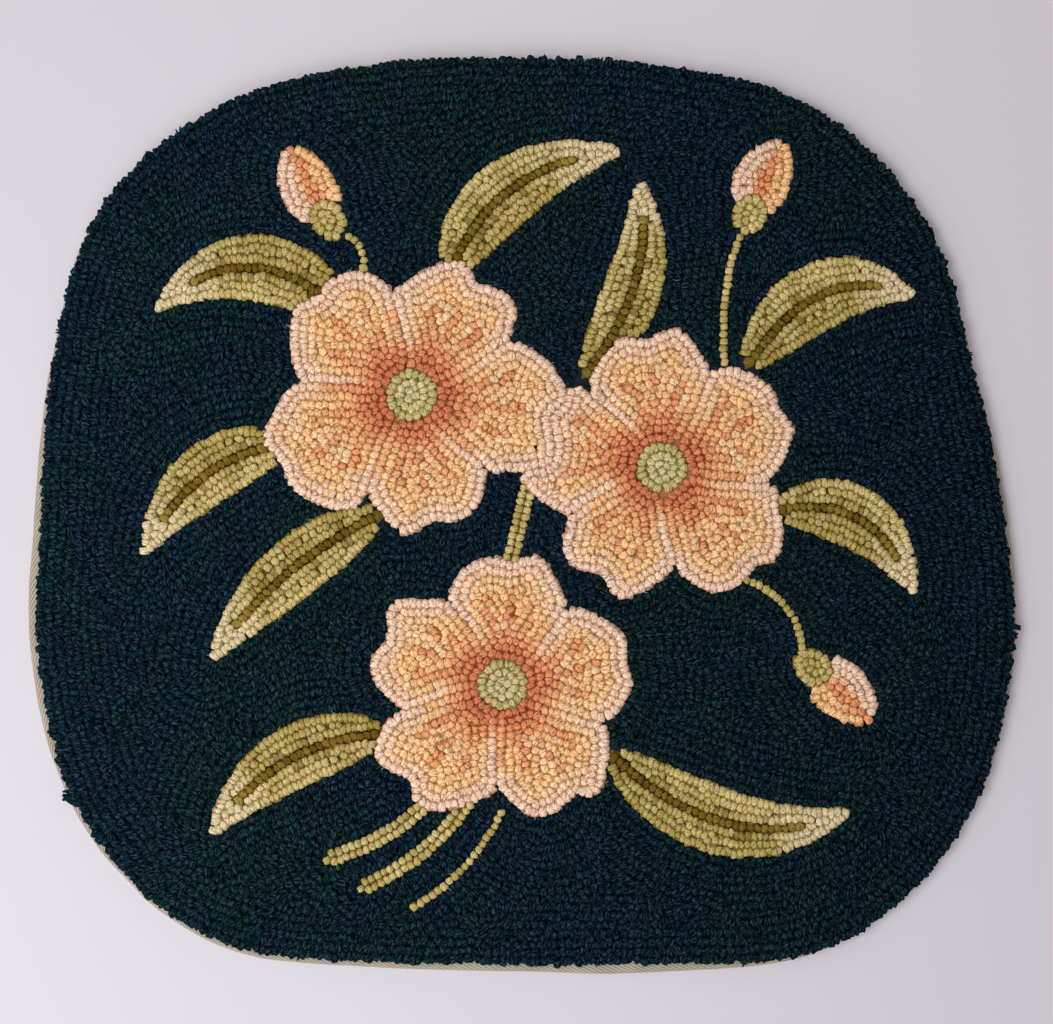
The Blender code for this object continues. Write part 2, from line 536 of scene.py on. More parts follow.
dye = {name: linear(code) for name, code in DYES.items()}
print({name: [round(float(c), 3) for c in colour] for name, colour in dye.items()})

# %% Colours along a dipped yarn
# Each yarn is asked for with how far out along its shape a loop lies, how far to the side, its
# distance from the flower's rim in mm, and two numbers from 0 to 1: a slow one and a chance one.


def over(under, name, share):
    """Lays a dye over colours, by shares from 0 to 1."""
    share = np.clip(share, 0, 1)[:, None]
    return (1 - share) * under + share * dye[name]


def plain(name, count):
    return np.tile(dye[name], (count, 1))


def petal_yarn(out, side, to_rim, drift, chance):
    colour = over(plain("apricot", len(out)), "peach", 1.5 - 2.2 * out + 0.5 * drift)
    colour = over(colour, "cream", 2.2 * drift - 1.2)
    middle_vein = (np.abs(side) < 0.07) & (out < 0.80)
    side_vein = (np.abs(np.abs(side) - 0.46) < 0.08) & (out > 0.44) & (out < 0.70)
    colour = over(colour, "salmon", (middle_vein | side_vein) * (0.55 + 0.4 * chance))
    # one side is shaded by the next petal, and the heart of the rose is dark:
    colour = over(colour, "salmon", (-5 * side - 3.9) * np.clip(3 - 3.4 * out, 0, 0.9))
    colour = over(colour, "salmon", (0.50 - out) / 0.14)
    colour = over(colour, "deep salmon", (0.36 - out) / 0.08 + 0.3 * chance - 0.3)
    # the other side and the rim are lit:
    colour = over(colour, "shell pink", (5 * side - 3.7) * np.clip(3 * out - 1.1, 0, 0.9))
    return over(colour, "shell pink", 1.45 - to_rim / 6.5 + 0.4 * (chance - 0.5))


def leaf_yarn(out, side, to_rim, drift, chance):
    colour = over(plain("moss", len(out)), "light olive", 0.9 * drift + 0.5 * side)
    colour = over(colour, "olive", 0.9 - 2.4 * out - 0.4 * drift)
    colour = over(colour, "olive", 0.95 - 1.9 * np.abs(side) - 0.5 * out)
    colour = over(colour, "bark", 0.55 * ((np.abs(side) < 0.4) & (out < 0.7) & (chance < 0.2)))
    return over(colour, "straw", (out - 0.62) / 0.2 + 0.3 * (drift - 0.5))


def rib_yarn(out, side, to_rim, drift, chance):
    colour = over(plain("olive", len(out)), "bark", 0.4 + 0.6 * chance)
    return over(colour, "olive", (out - 0.85) / 0.15)


def bud_yarn(out, side, to_rim, drift, chance):
    colour = over(plain("apricot", len(out)), "shell pink", 2.6 * side)
    return over(colour, "salmon", 1.5 - 4 * np.abs(side + 0.1) + 0.6 * (chance - 0.5))


def eye_yarn(out, side, to_rim, drift, chance):
    return over(plain("lime", len(out)), "moss", 0.35 * chance + 0.4 * (out > 0.75))


def stem_yarn(out, side, to_rim, drift, chance):
    return over(plain("moss", len(out)), "light olive", drift + 0.4 * chance - 0.2)


YARN_FOR = {
    "petal": petal_yarn,
    "leaf": leaf_yarn,
    "rib": rib_yarn,
    "bud": bud_yarn,
    "eye": eye_yarn,
    "stem": stem_yarn,
    "cup": stem_yarn,
}
print("yarns for", ", ".join(YARN_FOR))

# %% Slow changes over the pad
WAVES = 5
DRIFT_LONG = 16  # mm, the usual stretch of one shade in the spray
DRIFT_CHANCE = 0.05


def waves(points, length, seed):
    """A slow random swell over the pad, about 0 to 1, with waves of about a length in mm."""
    own = np.random.default_rng(seed)
    total = np.zeros(len(points))
    for _ in range(WAVES):
        way = own.uniform(0, 2 * math.pi)
        pace = 2 * math.pi / length * own.uniform(0.6, 1.5)
        total += np.sin(points @ (math.cos(way), math.sin(way)) * pace + own.uniform(0, 6.3))
    return np.clip(0.5 + total / 6, 0, 1)


def evenly(values):
    """The values' ranks, spread from 0 to 1."""
    return values.argsort().argsort() / len(values)


drift = waves(spots, DRIFT_LONG, seed=6) + rng.normal(0, DRIFT_CHANCE, len(spots))
drift = evenly(drift)
chance = rng.random(len(spots))
print("the first loops' slow changes:", np.round(drift[:5], 2))

# %% Each loop's colour
PATCH_WIDE, PATCH_SMALL = 130, 34  # mm, the two sizes of bottle green patches in the navy
RIGHT_SIDE_SHADE = 0.24  # painted shade: how much darker the ground gets towards the right, away from the window
UNEVEN_DYE = {"ground": 0.16}
UNEVEN_FINER_DYE = 0.06

cells = cell_of(spots)
depth_here = depth[cells]
kind_at = np.array(kinds)[shape[cells]]
green = 0.6 * waves(spots, PATCH_WIDE, seed=3) + 0.4 * waves(spots, PATCH_SMALL, seed=4)
green = np.clip((green[:, None] - 0.36) / 0.34, 0, 1)
colour = dye["navy"] * (1 - green) + dye["bottle green"] * green
# painted shade, deepening towards the right
colour *= 1 - RIGHT_SIDE_SHADE * evenly(spots[:, 0])[:, None]
for kind, yarn_colour in YARN_FOR.items():
    of_it = kind_at == kind
    drawn = (values[cells][of_it] for values in (along, across, from_rim))
    colour[of_it] = yarn_colour(*drawn, drift[of_it], chance[of_it])
uneven = np.array([UNEVEN_DYE.get(kind, UNEVEN_FINER_DYE) for kind in kind_at])
colour *= (1 + uneven * rng.uniform(-1, 1, len(spots)))[:, None]
print({str(kind): int((kind_at == kind).sum()) for kind in sorted(set(kind_at))})

# %% [markdown]
# ## One loop of two-ply yarn
# Seen from above, a loop is a bead that lies across its row, pressed nearly square by the loops
# round it, with a slanting groove where its two plies lie side by side. It could be a squashed
# ball, but the groove is what makes it wool. So each loop is an arch of tube: five rings over the
# arch, seven points to a ring, with two dents that turn from ring to ring as the yarn's twist
# turns them. The yarn is a little thicker than the room it has, so neighbours press into each
# other and leave only a crease. The spray is hooked closer than the ground, so its loops are
# pressed flatter. Nobody sees the inner side of the arch, so the tube is left open there. All
# loops are worked out at once, as arrays.

# %% How thick the yarn is and how wide its arch
YARN_RADIUS = {"ground": 1.7, "leaf": 1.6, "stem": 1.45}  # mm
FINER_YARN = 1.85
HALF_ARCH = {"stem": 0.35}  # mm from the arch's middle to each leg's middle
USUAL_HALF_ARCH = 0.8

count = len(spots)


def each(values):
    """One value a loop, ready to combine with the points over and round its arch."""
    return np.asarray(values)[:, None, None]


def for_kinds(table, otherwise):
    """What a table says for the kind of each loop."""
    return each([table.get(kind, otherwise) for kind in kind_at])


yarn = for_kinds(YARN_RADIUS, FINER_YARN) * each(rng.uniform(0.9, 1.1, count))
width = for_kinds(HALF_ARCH, USUAL_HALF_ARCH) * each(rng.uniform(0.5, 1.5, count))
print(f"yarns from {2 * yarn.min():.1f} to {2 * yarn.max():.1f} mm thick")

# %% Two plies, pressed
ARCH_DEG = np.array((-90, -48, 0, 48, 90))
ROUND_DEG = np.array((-99, -66, -33, 0, 33, 66, 99))
TWIST = 0.75  # degrees that the plies turn for each degree over the arch
PLY_DENT = {"ground": 0.2}  # depth of the groove between the plies, as a share of the radius
FINER_DENT = 0.15
DENT_DEG = 23
SQUASH = 3.8  # a pressed loop's section lies between a circle, 2, and a square

arch = np.radians(ARCH_DEG)[None, :, None]
ring = np.radians(ROUND_DEG)[None, None, :]
ply = ring - each(rng.normal(0, 0.6, count)) + TWIST * arch
from_dent = np.degrees(np.abs((ply + math.pi / 2) % math.pi - math.pi / 2))
pressed = (np.abs(np.cos(ring)) ** SQUASH + np.abs(np.sin(ring)) ** SQUASH) ** (-1 / SQUASH)
dent = for_kinds(PLY_DENT, FINER_DENT)
tube = yarn * pressed * (1 - dent * np.exp(-((from_dent / DENT_DEG) ** 2)))
print(f"from the yarn's middle to its skin: {tube.min():.1f} to {tube.max():.1f} mm")

# %% The arch
PILE_TOP = 8.2  # mm over the seat
LEG_FOOT = 5.6  # lower down the legs are packed too tight to see
RIM_FOOT = 3.95  # the last row stands on the tape
LOWER = 0.5  # mm, how much lower the rim and the ground beside an outline lie
BESIDE = 0.7  # rows
UNEVEN_TOPS = (0.24, 0.14)  # mm, in the ground and in the spray
RELIEF = {"ground": 0.88}  # pressed yarn is wider than high
FINER_RELIEF = 0.56
BOXY = 0.7  # pressed from all sides, a loop is nearly as long at its flanks as in its middle
SHOULDER = 1.07

to_edge = reach(loops_ring, np.arctan2(spots[:, 1], spots[:, 0])) - np.hypot(*spots.T)
at_rim = to_edge < ROW
in_ground = kind_at == "ground"
by_outline = in_ground & (depth_here < BESIDE * ROW)
foot = each(np.where(at_rim, RIM_FOOT, LEG_FOOT))
top = PILE_TOP + rng.normal(0, np.where(in_ground, *UNEVEN_TOPS)) - LOWER * by_outline
top = each(np.where(at_rim, top - LOWER, top))

is_foot = (np.abs(ARCH_DEG) == 90)[None, :, None]
shoulder = np.where(is_foot | (arch == 0), 1.0, SHOULDER)
centre_u = width * (1 + BOXY * np.sin(ring) ** 2) * np.sin(arch)
centre_z = np.where(is_foot, foot, top - yarn - width + width * np.cos(arch))
u = shoulder * (centre_u + tube * np.cos(ring) * np.sin(arch))
v = tube * np.sin(ring) * np.ones_like(arch)
z = centre_z + tube * np.cos(ring) * np.cos(arch)
relief = np.where(each(at_rim), 1, for_kinds(RELIEF, FINER_RELIEF))
z = np.where(is_foot, z, top - relief * (top - z))
print(f"{at_rim.sum()} loops at the rim, {by_outline.sum()} of the ground beside an outline")

# %% Turning and leaning the loops
TURNS = (0.4, 0.18)  # radians, of unruly loops and of those that lie straight
LEANS = (0.42, 0.22)  # mm, of the same
RIM_LEANS_OUT = (0.35, 0.55)  # mm, the usual lean at the rim and how much it varies

unruly = in_ground | (depth_here > 2 * FINER_ROW)  # a shape's two outer rows lie straighter
turn = each(np.arctan2(uphill[:, 1], uphill[:, 0]) + rng.normal(0, np.where(unruly, *TURNS)))
outward = spots / np.hypot(*spots.T)[:, None]
lean = rng.normal(0, np.where(unruly, *LEANS), (2, count)).T
lean += (at_rim * rng.normal(*RIM_LEANS_OUT, count))[:, None] * outward
rise = (z - foot) / (top - foot)
loop_x = each(spots[:, 0]) + u * np.cos(turn) - v * np.sin(turn) + each(lean[:, 0]) * rise
loop_y = each(spots[:, 1]) + u * np.sin(turn) + v * np.cos(turn) + each(lean[:, 1]) * rise
loop_points = np.stack(np.broadcast_arrays(loop_x, loop_y, z), axis=-1) * MM
print("points of one loop:", loop_points.shape[1:], "unruly loops:", int(unruly.sum()))

# %% [markdown]
# ### How each point lies
# The look of wool depends on where on the yarn a point is, and no texture space knows that. So
# every point carries three numbers for the material: the angle round the yarn from where two
# plies meet, its place along the yarn, and how far it is from touching the next loop. The last
# is half the difference between the distances to the next loop's middle and to its own.

# %% Three numbers for each point
SKEIN = 100  # mm of yarn, from which each loop takes its stretch

stands_at = spots + lean


def to_middle(which):
    """From each loop's points to the middle of a loop, in mm."""
    return np.linalg.norm(loop_points[..., :2] / MM - stands_at[which][:, None, None], axis=-1)


to_own = to_middle(np.arange(count))
to_next = np.min([to_middle(near[:, k]) for k in range(1, NEIGHBOURS + 1)], axis=0)
along_yarn = arch * (width + yarn) + each(SKEIN * rng.random(count))
lay = np.stack(np.broadcast_arrays(ply, along_yarn, (to_next - to_own) / 2), axis=-1)
print(f"{(to_next < to_own).mean():.0%} of the points are pressed into the next loop")

# %% Joining points into meshes


def grid_faces(rows, columns, closed=False, ring=False):
    """Four-cornered faces between points in rows, joined end to end where it says so."""
    faces = []
    for r in range(rows if ring else rows - 1):
        for c in range(columns if closed else columns - 1):
            a, b = r * columns + c, r * columns + (c + 1) % columns
            after = (r + 1) % rows * columns - r * columns
            faces.append((a, b, b + after, a + after))
    return np.array(faces)


def many(one_faces, points_each, number):
    """The faces of many like shapes that follow each other in one list of points."""
    return (one_faces[None] + (np.arange(number) * points_each)[:, None, None]).reshape(-1, 4)


def mesh_piece(name, points, faces, colours=None, lays=None, smooth=True):
    """A mesh that rides on the pad. Its points may have a dye colour and three numbers each."""
    mesh = bpy.data.meshes.new(name)
    mesh.from_pydata(points.reshape(-1, 3).tolist(), [], [list(f) for f in faces])
    mesh.polygons.foreach_set("use_smooth", [smooth] * len(mesh.polygons))
    if colours is not None:
        layer = mesh.color_attributes.new("dye", "FLOAT_COLOR", "POINT")
        opaque = np.concatenate([colours.reshape(-1, 3), np.ones((colours.size // 3, 1))], 1)
        layer.data.foreach_set("color", opaque.ravel())
    if lays is not None:
        layer = mesh.attributes.new("lay", "FLOAT_VECTOR", "POINT")
        layer.data.foreach_set("vector", lays.ravel())
    obj = bpy.data.objects.new(name, mesh)
    bpy.context.scene.collection.objects.link(obj)
    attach(obj, "root")
    return obj


LOOP_SIZE = len(ARCH_DEG) * len(ROUND_DEG)
LOOP_FACES = grid_faces(len(ARCH_DEG), len(ROUND_DEG))
print(f"a loop has {LOOP_SIZE} points and {len(LOOP_FACES)} faces")

# %% Joining loops into pieces
QUARTERS = 4


def loops_piece(name, chosen):
    ids = np.flatnonzero(chosen)
    faces = many(LOOP_FACES, LOOP_SIZE, len(ids))
    colours = np.repeat(colour[ids], LOOP_SIZE, axis=0)
    obj = mesh_piece(name, loop_points[ids], faces, colours, lay[ids])
    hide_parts("hooked_pad")
    print(name, len(ids), "loops")
    return obj


quarter = (np.arctan2(spots[:, 1], spots[:, 0]) / (2 * math.pi) % 1 * QUARTERS).astype(int)
ground_pieces = [
    loops_piece(f"ground_loops_{q + 1}", in_ground & (quarter == q))
    for q in range(QUARTERS)
]
in_rose = np.isin(kind_at, ("petal", "eye"))
owner = shape[cells]
rose_of = np.zeros(count, int)
eyes = [number for number, kind in enumerate(kinds) if kind == "eye"]
for i, eye in enumerate(eyes):
    rose_of[in_rose & (owner > eye - PETALS - 1) & (owner <= eye)] = i + 1
petal_pieces = [
    loops_piece(f"rose_loops_{i + 1}", rose_of == i + 1) for i in range(len(eyes))
]
petal_pieces.append(loops_piece("bud_loops", kind_at == "bud"))
leaf_pieces = [
    loops_piece("leaf_loops", np.isin(kind_at, ("leaf", "rib"))),
    loops_piece("stem_loops", np.isin(kind_at, ("stem", "cup"))),
]

# %% [markdown]
# ## Wool yarn
# Woollen yarn is spun from short crimped fibres that lie every way, so it scatters light and has
# next to no gloss: a high roughness and a weak reflection, with the index of refraction of wool,
# 1.55. Four things show on it. The line where the two plies meet lies in shade, and that shade is
# painted as a dark line. Fibres run along the yarn and slant with its twist. Fibres also stick out
# at every angle and take the dye unevenly, so the yarn is full of specks; on the dark ground the
# lightest of them are also painted highlights, greyed as a painted sheen. And where two loops
# touch, light goes from one to the other before it gets out, so the crease is painted darker and
# its colour stronger. Fibres and specks are really 0.03 mm wide, and are drawn fifteen to
# twenty-five times coarser so that they show.

# %% Adding nodes


def add(tree, kind, settings=(), links=()):
    """A node with its settings, and with links from output sockets to its named inputs."""
    node = tree.nodes.new(kind)
    for name, value in dict(settings).items():
        if name in node.inputs:
            node.inputs[name].default_value = value
        else:
            setattr(node, name, value)
    for name, source in dict(links).items():
        tree.links.new(source, node.inputs[name])
    return node


def new_material(name, ior, gloss):
    material = bpy.data.materials.new(name)
    material.use_nodes = True
    tree = material.node_tree
    shader = tree.nodes["Principled BSDF"]
    shader.inputs["IOR"].default_value = ior
    shader.inputs["Specular IOR Level"].default_value = gloss
    return material, tree, shader


def shade(tree, colour, *patterns):
    """Multiplies a colour by one factor for each pattern.

    A pattern is a value, the low and high that it runs between, and the factors there.
    """
    for value, low, high, at_low, at_high in patterns:
        factor = add(
            tree,
            "ShaderNodeMapRange",
            {"From Min": low, "From Max": high, "To Min": at_low, "To Max": at_high},
            {"Value": value},
        )
        shaded = add(
            tree,
            "ShaderNodeVectorMath",
            {"operation": "SCALE"},
            {"Vector": colour, "Scale": factor.outputs["Result"]},
        )
        colour = shaded.outputs["Vector"]
    return colour


def dress(tree, shader, colour, bump, roughness_pattern):
    """Gives a shader its colour, its bump, and a roughness that follows a pattern."""
    value, low, high, at_low, at_high = roughness_pattern
    roughness = add(
        tree,
        "ShaderNodeMapRange",
        {"From Min": low, "From Max": high, "To Min": at_low, "To Max": at_high},
        {"Value": value},
    )
    tree.links.new(colour, shader.inputs["Base Color"])
    tree.links.new(bump.outputs["Normal"], shader.inputs["Normal"])
    tree.links.new(roughness.outputs["Result"], shader.inputs["Roughness"])


WOOL_IOR = 1.55
PLANT_IOR = 1.53  # cotton and flax
print("refraction: wool", WOOL_IOR, "and cotton", PLANT_IOR)

# %% The yarn's material
SPECK = 0.45 * MM
STREAK_WIDE = 0.45  # radians round the yarn, about 0.8 mm
STREAK_LONG = 2.0  # mm
CREASE = 0.18  # mm from where two loops touch to where the light is full
WOOL_GLOSS = 0.03
SHEEN_GREY = "#7B868C"  # painted sheen: the grey that the lightest fibres are mixed towards


def woollen_yarn(name, fibre, clean, sheen_paint, groove, crease, bounces):
    """Yarn whose fibres and specks run from a darkest to a lightest share of the dye.

    clean is the noise from which they are at their lightest; the next share mixes those fibres
    towards grey, a painted sheen.
    groove is the share of light left between the plies, crease the share left where two loops
    touch, and bounces the power that the dye's colour is raised to there.
    """
    material, tree, shader = new_material(name, WOOL_IOR, WOOL_GLOSS)
    dyed = add(tree, "ShaderNodeAttribute", {"attribute_name": "dye"})
    lie = add(tree, "ShaderNodeAttribute", {"attribute_name": "lay"})
    place = add(tree, "ShaderNodeTexCoord")
    split = add(tree, "ShaderNodeSeparateXYZ", links={"Vector": lie.outputs["Vector"]})
    from_touching = split.outputs["Z"]
    wave = add(tree, "ShaderNodeMath", {"operation": "SINE"}, {"Value": split.outputs["X"]})
    crown = add(tree, "ShaderNodeMath", {"operation": "ABSOLUTE"}, {"Value": wave.outputs[0]})
    slanted = add(
        tree,
        "ShaderNodeMapping",
        {"Scale": (1 / STREAK_WIDE, 1 / STREAK_LONG, 0.0)},
        {"Vector": lie.outputs["Vector"]},
    )
    fibres = add(
        tree,
        "ShaderNodeTexNoise",
        {"Scale": 1.0, "Detail": 1.5, "Roughness": 0.6},
        {"Vector": slanted.outputs["Vector"]},
    ).outputs["Fac"]
    specks = add(
        tree,
        "ShaderNodeTexNoise",
        {"Scale": 1 / SPECK, "Detail": 1.0, "Roughness": 0.6},
        {"Vector": place.outputs["Object"]},
    ).outputs["Fac"]
    tint = shade(
        tree,
        dyed.outputs["Color"],
        (crown.outputs[0], 0, 0.35, groove, 1.03),
        (fibres, 0.38, clean, *fibre),
        (specks, 0.36, clean, *fibre),
    )
    # painted sheen: the lightest fibres are mixed towards grey
    sheen_amount = add(
        tree,
        "ShaderNodeMapRange",
        {"From Min": 0.5, "From Max": 0.66, "To Min": 0, "To Max": sheen_paint},
        {"Value": fibres},
    )
    pale = add(
        tree,
        "ShaderNodeMix",
        {"data_type": "RGBA", "B": (*linear(SHEEN_GREY), 1)},
        {"A": tint, "Factor": sheen_amount.outputs["Result"]},
    )
    power = add(
        tree,
        "ShaderNodeMapRange",
        {"From Min": 0, "From Max": CREASE, "To Min": bounces, "To Max": 1},
        {"Value": from_touching},
    )
    deeper = add(
        tree,
        "ShaderNodeGamma",
        links={"Color": pale.outputs["Result"], "Gamma": power.outputs["Result"]},
    )
    tint = shade(tree, deeper.outputs["Color"], (from_touching, 0, CREASE, crease, 1))
    height = add(
        tree,
        "ShaderNodeMath",
        {"operation": "ADD"},
        {"Value": fibres, "Value_001": specks},
    )
    bump = add(
        tree,
        "ShaderNodeBump",
        {"Strength": 0.6, "Distance": 0.12 * MM},
        {"Height": height.outputs[0]},
    )
    dress(tree, shader, tint, bump, (specks, 0.3, 0.7, 0.98, 0.86))
    print(name, "has", len(tree.nodes), "nodes")
    return material


print(f"a streak of fibres is {STREAK_LONG:.0f} mm long, a speck {SPECK / MM:.2f} mm")

# %% Two wools
# Overdyed wool takes the dye very unevenly from fibre to fibre, and wool dyed once more evenly. The
# ground's wide range is partly that and partly painted highlight, where fibres would catch the
# light.
ground_yarn = woollen_yarn(
    "woollen yarn, overdyed navy",
    fibre=(0.18, 1.75),
    clean=0.63,
    sheen_paint=0.14,
    groove=0.75,
    crease=0.52,
    bounces=1.12,
)
spray_yarn = woollen_yarn(
    "woollen yarn, pot dyed",
    fibre=(0.66, 1.12),
    clean=0.5,
    sheen_paint=0.0,
    groove=0.84,
    crease=0.6,
    bounces=1.5,
)
for obj in ground_pieces:
    obj.data.materials.append(ground_yarn)
for obj in petal_pieces + leaf_pieces:
    obj.data.materials.append(spray_yarn)

# %% [markdown]
# ## What lies between the loops
# Lower down the legs of the loops are pressed together into one mass. It shows only as the dark of
# the gaps, so a solid bed stands for it, in the yarn's colour darkened as painted shade. It is made
# of rings that follow the edge at set distances, as are the cloth and the tape.

# %% Rings round the pad
RING_POINTS = 240
A_LITTLE = 0.02  # radians either way, to find which way the edge runs
ring_way = np.arange(RING_POINTS) * 2 * math.pi / RING_POINTS


def edge_points(ring, way):
    far = reach(ring, way)
    return np.stack([far * np.cos(way), far * np.sin(way)], axis=1)


def outward_at(ring, way):
    """The direction straight out of the edge."""
    run = edge_points(ring, way + A_LITTLE) - edge_points(ring, way - A_LITTLE)
    out = np.stack([run[:, 1], -run[:, 0]], axis=1)
    return out / np.hypot(*out.T)[:, None]


def ring_inside(ring, inward, height):
    """Points at a distance inward from the edge, in mm."""
    flat = edge_points(ring, ring_way) - inward * outward_at(ring, ring_way)
    return np.column_stack([flat, np.broadcast_to(height, RING_POINTS)])


def shrunk(ring_points, share, height):
    return np.column_stack([share * ring_points[:, :2], np.full(RING_POINTS, height)])


def capped(rings):
    """Points and faces of a solid made of rings, closed by a face at each end."""
    points = np.concatenate(rings)
    faces = [list(face) for face in grid_faces(len(rings), RING_POINTS, closed=True)]
    last = (len(rings) - 1) * RING_POINTS
    faces.append(list(range(RING_POINTS))[::-1])
    faces.append([last + i for i in range(RING_POINTS)])
    return points, faces


print(f"a ring point every {2 * math.pi * 200 / RING_POINTS:.1f} mm or so")

# %% The bed of packed legs
BED_TOP = 6.2  # mm over the seat
BED_SHADE = 0.4  # painted shade: the share of the yarn's colour left down between the legs
OVER_TAPE = 3.95
NECK = 8.0  # mm in from the loops' edge, past the tape's upper lap
BED_SECTION = (
    # mm in from the loops' edge, height
    (NECK, 2.2),
    (NECK, OVER_TAPE),
    (2.7, OVER_TAPE),
    (3.1, 5.0),
    (5.0, BED_TOP),
)
PLAIN_LAY = (math.pi / 2, 0.0, 9.0)  # on a ply's crown and far from a crease

rings = [ring_inside(loops_ring, inward, height) for inward, height in BED_SECTION]
inner = rings[-1]
rings += [shrunk(inner, share, BED_TOP) for share in (0.7, 0.4, 0.1)]
points, faces = capped(rings)
bed = mesh_piece(
    "packed_legs",
    points * MM,
    faces,
    np.tile(BED_SHADE * dye["navy"], (len(points), 1)),
    np.tile(PLAIN_LAY, (len(points), 1)),
)
bed.data.materials.append(ground_yarn)
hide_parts("hooked_pad")
print(f"the bed lies {PILE_TOP - BED_TOP:.1f} mm under the loops' tops")

# %% [markdown]
# Between two pale loops the dark bed would show as a black line. So each motif has a patch of bed
# of its own, in a darker dye of the motif further darkened as painted shade, a little higher than
# the ground's and a little smaller than the motif, so that it never shows past the motif's last
# loops.

# %% The bed under the spray
# painted shade: each motif's bed takes a darker dye, olive where none is listed, and 0.45 of it
PATCH_SHADE_DYE = {"petal": "salmon", "bud": "salmon"}
PATCH_SHADE = 0.45
LIFT = {"petal": 0.3}  # mm over the ground's bed
USUAL_LIFT = 0.2

points, faces, colours = [], [], []
for kind, outline in patches:
    start, size = len(points), len(outline)
    top_z = BED_TOP + LIFT.get(kind, USUAL_LIFT)
    points += [(x, y, top_z) for x, y in outline]
    points += [(x, y, BED_TOP - 1) for x, y in outline]
    faces.append([start + i for i in range(size)])
    for i in range(size):
        j = (i + 1) % size
        faces.append([start + i, start + size + i, start + size + j, start + j])
    colours += [PATCH_SHADE * dye[PATCH_SHADE_DYE.get(kind, "olive")]] * (2 * size)
points = np.array(points)
spray_bed = mesh_piece(
    "packed_legs_in_spray",
    points * MM,
    faces,
    np.array(colours),
    np.tile(PLAIN_LAY, (len(points), 1)),
    smooth=False,
)
spray_bed.data.materials.append(spray_yarn)
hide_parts("hooked_pad")
print(len(spray_bed.data.polygons), "faces under the spray")

# %% [markdown]
# ## The foundation cloth
# The cloth is what everything hangs on, but it hardly shows: only between the stitches on the
# back, and nowhere from above. A thin closed sheet does. It lies flat in the middle, and near
# the edge it climbs onto the tape's lower part, with its raw edge in the fold.

# %% The foundation cloth
LAP_BELOW = 30.0  # mm of tape flat under the cloth
LAP_GAP = 0.3
CLIMB = 5.0  # mm within which the cloth climbs onto the tape
CLOTH_OVER_TAPE = 1.3
CLOTH_UNDER = 0.5  # the cloth's height off the seat, on its flat stitches
CLOTH = 1.2  # mm, the weave with the yarn in it

tape_ends = LAP_BELOW + LAP_GAP
CLOTH_SECTION = (
    # mm in from the tape's edge, height
    (tape_ends + CLIMB, CLOTH_UNDER),
    (tape_ends, CLOTH_OVER_TAPE),
    (1.9, CLOTH_OVER_TAPE),
    (1.3, 1.9),
    (1.9, CLOTH_OVER_TAPE + CLOTH),
    (tape_ends, CLOTH_OVER_TAPE + CLOTH),
    (tape_ends + CLIMB, CLOTH_UNDER + CLOTH),
)
points, faces = capped(
    [ring_inside(tape_ring, inward, height) for inward, height in CLOTH_SECTION]
)
cloth = mesh_piece("foundation_cloth", points * MM, faces, smooth=False)
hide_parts("hooked_pad")
print(f"the cloth is {CLOTH} mm thick and climbs {CLOTH_OVER_TAPE - CLOTH_UNDER:.1f} mm")

# %% [markdown]
# Hooking linen is spun from stiff flax, left unbleached and woven plain and open, one thread over
# and one under, with room for the hook between them. That gives the eye a dull straw-coloured
# grid. Two crossed waves draw it, one for each set of threads, and the higher of the two shows.

# %% The cloth's weave
LINEN_THREAD = 1.8 * MM  # from thread to thread, 14 to the inch
BAND = 2 * math.pi / 20  # the scale that gives a wave texture one band to the unit
SMOOTHER_GLOSS = 0.2  # of cotton and flax, whose fibres lie closer than wool's
FURROW, CREST = "#6F5E40", "#A99569"

material, tree, shader = new_material("unbleached linen, plain weave", PLANT_IOR, SMOOTHER_GLOSS)
place = add(tree, "ShaderNodeTexCoord")
warp, weft = (
    add(
        tree,
        "ShaderNodeTexWave",
        {"bands_direction": axis, "Scale": BAND / LINEN_THREAD, "Distortion": 0.6},
        {"Vector": place.outputs["Object"]},
    )
    for axis in "XY"
)
weave = add(
    tree,
    "ShaderNodeMath",
    {"operation": "MAXIMUM"},
    {"Value": warp.outputs["Fac"], "Value_001": weft.outputs["Fac"]},
).outputs[0]
flax = add(
    tree,
    "ShaderNodeMix",
    {"data_type": "RGBA", "A": (*linear(FURROW), 1), "B": (*linear(CREST), 1)},
    {"Factor": weave},
)
bump = add(
    tree,
    "ShaderNodeBump",
    {"Strength": 0.6, "Distance": 0.3 * MM},
    {"Height": weave},
)
dress(tree, shader, flax.outputs["Result"], bump, (weave, 0, 1, 0.95, 0.8))
cloth.data.materials.append(material)
print(material.name, "has", len(tree.nodes), "nodes")

# %% [markdown]
# ## Fuzz
# Fibres that have worked loose stand off the loops, and on dark wool they are what catches the
# light. Each is a ribbon with one bend, 0.1 mm wide, three times a real fibre, so that a hair
# doesn't fall between two pixels.

# %% Fuzz on the loops
HAIRS = 13000
HAIR = 0.1  # mm wide
HAIR_LONG = (0.8, 2.2)  # mm
BEND = 0.9  # radians, usual size
RISES = 0.22  # mm at the bend
TIP_RISES = (-0.1, 0.3)
TIP_WIDE = 0.4  # share of the width at the root
HAIR_POINTS = 6

pick = rng.integers(0, count, HAIRS)
root = loop_points[pick, rng.integers(1, 4, HAIRS), rng.integers(1, 6, HAIRS)] / MM
heading = rng.uniform(0, 2 * math.pi, HAIRS)
curl = rng.normal(0, BEND, HAIRS)
size = rng.uniform(*HAIR_LONG, HAIRS)


def from_root(reach_out, way, up):
    return root + np.column_stack([reach_out * np.cos(way), reach_out * np.sin(way), up])


